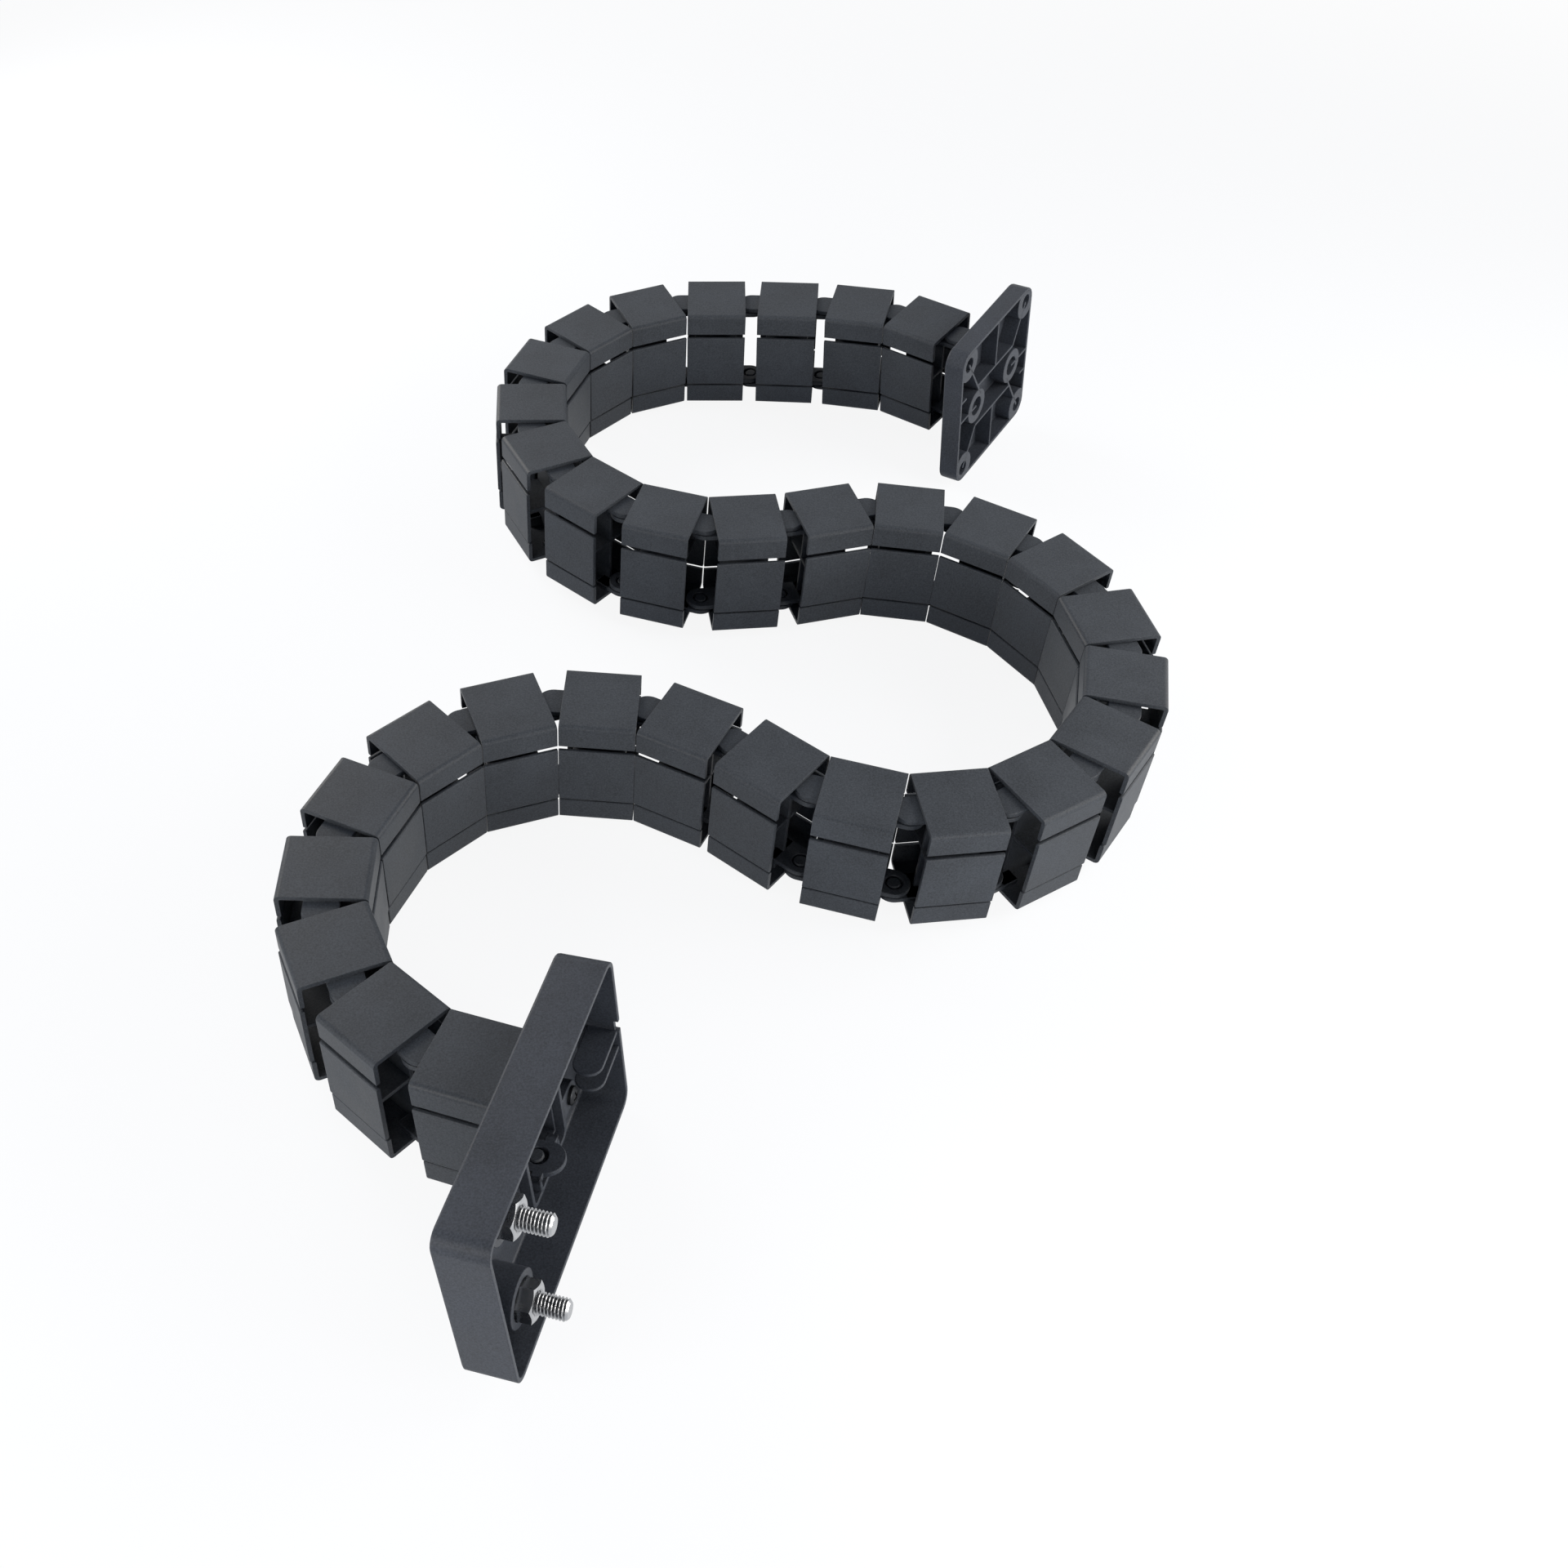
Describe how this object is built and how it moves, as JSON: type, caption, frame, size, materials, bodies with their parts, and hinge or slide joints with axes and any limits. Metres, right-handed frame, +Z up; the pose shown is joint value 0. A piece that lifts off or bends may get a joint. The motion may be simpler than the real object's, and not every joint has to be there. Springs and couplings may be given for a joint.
{
  "type": "cable spine",
  "caption": "Flexible cable spine: a chain of hinged four-chamber links that leads cables between a square mounting plate and a bolted base tray.",
  "frame": {"origin": "centre of the corner-hole pattern on the plate's mounting face", "axes": "+Z up along the hinges of the level links, +Y from the near loop of the S to the far one, +X to the right of the picture"},
  "size_m": [0.3689, 0.6125, 0.0886],
  "materials": {
    "moulded_plastic": "fine grain",
    "end_plastic": "fine grain",
    "zinc_steel": "bright zinc"
  },
  "bodies": {
    "base": {"base_tray": "moulded_plastic", "base_connector": "end_plastic", "base_connector_screws": "zinc_steel", "bolt_upper": "zinc_steel", "bolt_lower": "zinc_steel", "nut_upper": "zinc_steel", "nut_lower": "zinc_steel", "link_32": "moulded_plastic"},
    "link_01": {"link_01": "moulded_plastic"},
    "link_02": {"link_02": "moulded_plastic"},
    "link_03": {"link_03": "moulded_plastic"},
    "link_04": {"link_04": "moulded_plastic"},
    "link_05": {"link_05": "moulded_plastic"},
    "link_06": {"link_06": "moulded_plastic"},
    "link_07": {"link_07": "moulded_plastic"},
    "link_08": {"link_08": "moulded_plastic"},
    "link_09": {"link_09": "moulded_plastic"},
    "link_10": {"link_10": "moulded_plastic"},
    "link_11": {"link_11": "moulded_plastic"},
    "link_12": {"link_12": "moulded_plastic"},
    "link_13": {"link_13": "moulded_plastic"},
    "link_14": {"link_14": "moulded_plastic"},
    "link_15": {"link_15": "moulded_plastic"},
    "link_16": {"link_16": "moulded_plastic"},
    "link_17": {"link_17": "moulded_plastic"},
    "link_18": {"link_18": "moulded_plastic"},
    "link_19": {"link_19": "moulded_plastic"},
    "link_20": {"link_20": "moulded_plastic"},
    "link_21": {"link_21": "moulded_plastic"},
    "link_22": {"link_22": "moulded_plastic"},
    "link_23": {"link_23": "moulded_plastic"},
    "link_24": {"link_24": "moulded_plastic"},
    "link_25": {"link_25": "moulded_plastic"},
    "link_26": {"link_26": "moulded_plastic"},
    "link_27": {"link_27": "moulded_plastic"},
    "link_28": {"link_28": "moulded_plastic"},
    "link_29": {"link_29": "moulded_plastic"},
    "link_30": {"link_30": "moulded_plastic"},
    "link_31": {"link_31": "moulded_plastic"},
    "plate": {"mounting_plate": "end_plastic", "plate_connector": "moulded_plastic", "plate_screws": "zinc_steel"}
  },
  "joints": [
    {"name": "hinge_31_32", "type": "hinge", "parent": "base", "child": "link_31", "pos_m": [-0.2642, -0.44389, -0.007], "axis": [-0.0315, 0.0725, 0.9969], "range_deg": [-0.31, 47.31]},
    {"name": "hinge_30_31", "type": "hinge", "parent": "link_31", "child": "link_30", "pos_m": [-0.29342, -0.41673, -0.0099], "axis": [0.0111, -0.0535, -0.9985], "range_deg": [-47.31, 0.31]},
    {"name": "hinge_29_30", "type": "hinge", "parent": "link_30", "child": "link_29", "pos_m": [-0.30936, -0.38011, -0.01204], "axis": [0, 0.0279, 0.9996], "range_deg": [-0.31, 47.31]},
    {"name": "hinge_28_29", "type": "hinge", "parent": "link_29", "child": "link_28", "pos_m": [-0.30936, -0.34013, -0.01316], "axis": [0, 0, -1], "range_deg": [-47.31, 0.31]},
    {"name": "hinge_27_28", "type": "hinge", "parent": "link_28", "child": "link_27", "pos_m": [-0.29341, -0.30345, -0.01316], "axis": [0, 0, 1], "range_deg": [-0.31, 47.31]},
    {"name": "hinge_26_27", "type": "hinge", "parent": "link_27", "child": "link_26", "pos_m": [-0.26416, -0.27616, -0.01316], "axis": [0, 0, -1], "range_deg": [-47.31, 0.31]},
    {"name": "hinge_25_26", "type": "hinge", "parent": "link_26", "child": "link_25", "pos_m": [-0.22645, -0.26281, -0.01316], "axis": [0, 0, 1], "range_deg": [-0.31, 47.31]},
    {"name": "hinge_24_25", "type": "hinge", "parent": "link_25", "child": "link_24", "pos_m": [-0.18655, -0.2656, -0.01316], "axis": [0, 0, -1], "range_deg": [-47.31, 0.31]},
    {"name": "hinge_23_24", "type": "hinge", "parent": "link_24", "child": "link_23", "pos_m": [-0.15107, -0.28407, -0.01316], "axis": [0, 0, 1], "range_deg": [-11.81, 35.81]},
    {"name": "hinge_22_23", "type": "hinge", "parent": "link_23", "child": "link_22", "pos_m": [-0.12021, -0.30952, -0.01316], "axis": [0, 0, -1], "range_deg": [-0.31, 47.31]},
    {"name": "hinge_21_22", "type": "hinge", "parent": "link_22", "child": "link_21", "pos_m": [-0.08176, -0.32054, -0.01316], "axis": [0, 0, 1], "range_deg": [-47.31, 0.31]},
    {"name": "hinge_20_21", "type": "hinge", "parent": "link_21", "child": "link_20", "pos_m": [-0.0421, -0.31532, -0.01316], "axis": [0, 0, -1], "range_deg": [-0.31, 47.31]},
    {"name": "hinge_19_20", "type": "hinge", "parent": "link_20", "child": "link_19", "pos_m": [-0.00781, -0.29472, -0.01316], "axis": [0, 0, 1], "range_deg": [-47.31, 0.31]},
    {"name": "hinge_18_19", "type": "hinge", "parent": "link_19", "child": "link_18", "pos_m": [0.01542, -0.26215, -0.01316], "axis": [0, 0, -1], "range_deg": [-0.31, 47.31]},
    {"name": "hinge_17_18", "type": "hinge", "parent": "link_18", "child": "link_17", "pos_m": [0.02373, -0.22303, -0.01316], "axis": [0, 0, 1], "range_deg": [-47.31, 0.31]},
    {"name": "hinge_16_17", "type": "hinge", "parent": "link_17", "child": "link_16", "pos_m": [0.01576, -0.18383, -0.01316], "axis": [0, 0, -1], "range_deg": [-0.31, 47.31]},
    {"name": "hinge_15_16", "type": "hinge", "parent": "link_16", "child": "link_15", "pos_m": [-0.00719, -0.15107, -0.01316], "axis": [0, 0, 1], "range_deg": [-47.31, 0.31]},
    {"name": "hinge_14_15", "type": "hinge", "parent": "link_15", "child": "link_14", "pos_m": [-0.04129, -0.13017, -0.01316], "axis": [0, 0, -1], "range_deg": [-0.31, 47.31]},
    {"name": "hinge_13_14", "type": "hinge", "parent": "link_14", "child": "link_13", "pos_m": [-0.0809, -0.1246, -0.01316], "axis": [0, 0, 1], "range_deg": [-47.31, 0.31]},
    {"name": "hinge_12_13", "type": "hinge", "parent": "link_13", "child": "link_12", "pos_m": [-0.11945, -0.13529, -0.01316], "axis": [0, 0, -1], "range_deg": [-32.81, 14.81]},
    {"name": "hinge_11_12", "type": "hinge", "parent": "link_12", "child": "link_11", "pos_m": [-0.15919, -0.13982, -0.01316], "axis": [0, 0, 1], "range_deg": [-0.31, 47.31]},
    {"name": "hinge_10_11", "type": "hinge", "parent": "link_11", "child": "link_10", "pos_m": [-0.19744, -0.12812, -0.01316], "axis": [0, 0, -1], "range_deg": [-47.31, 0.31]},
    {"name": "hinge_09_10", "type": "hinge", "parent": "link_10", "child": "link_09", "pos_m": [-0.22786, -0.10214, -0.01316], "axis": [0, 0, 1], "range_deg": [-0.31, 47.31]},
    {"name": "hinge_08_09", "type": "hinge", "parent": "link_09", "child": "link_08", "pos_m": [-0.24539, -0.06619, -0.01316], "axis": [0, 0, -1], "range_deg": [-47.31, 0.31]},
    {"name": "hinge_07_08", "type": "hinge", "parent": "link_08", "child": "link_07", "pos_m": [-0.24714, -0.02623, -0.01316], "axis": [0, 0, 1], "range_deg": [-0.31, 47.31]},
    {"name": "hinge_06_07", "type": "hinge", "parent": "link_07", "child": "link_06", "pos_m": [-0.2328, 0.01111, -0.01316], "axis": [0.0075, 0.0196, -0.9998], "range_deg": [-47.31, 0.31]},
    {"name": "hinge_05_06", "type": "hinge", "parent": "link_06", "child": "link_05", "pos_m": [-0.20477, 0.03964, -0.01239], "axis": [-0.0222, -0.0345, 0.9992], "range_deg": [-0.31, 47.31]},
    {"name": "hinge_04_05", "type": "hinge", "parent": "link_05", "child": "link_04", "pos_m": [-0.1677, 0.05459, -0.01105], "axis": [0.0416, 0.0423, -0.9982], "range_deg": [-47.31, 0.31]},
    {"name": "hinge_03_04", "type": "hinge", "parent": "link_04", "child": "link_03", "pos_m": [-0.12774, 0.0535, -0.00943], "axis": [-0.0625, -0.0417, 0.9972], "range_deg": [-18.81, 28.81]},
    {"name": "hinge_02_03", "type": "hinge", "parent": "link_03", "child": "link_02", "pos_m": [-0.08808, 0.04889, -0.00714], "axis": [0.0832, 0.0393, -0.9958], "range_deg": [-32.81, 14.81]},
    {"name": "hinge_01_02", "type": "hinge", "parent": "link_02", "child": "link_01", "pos_m": [-0.04966, 0.0381, -0.00435], "axis": [-0.1033, -0.0336, 0.9941], "range_deg": [-0.31, 47.31]},
    {"name": "plate_hinge", "type": "hinge", "parent": "link_01", "child": "plate", "pos_m": [-0.01875, 0.01282, -0.00199], "axis": [0.1195, 0.0204, -0.9926], "range_deg": [-31, 41]}
  ]
}
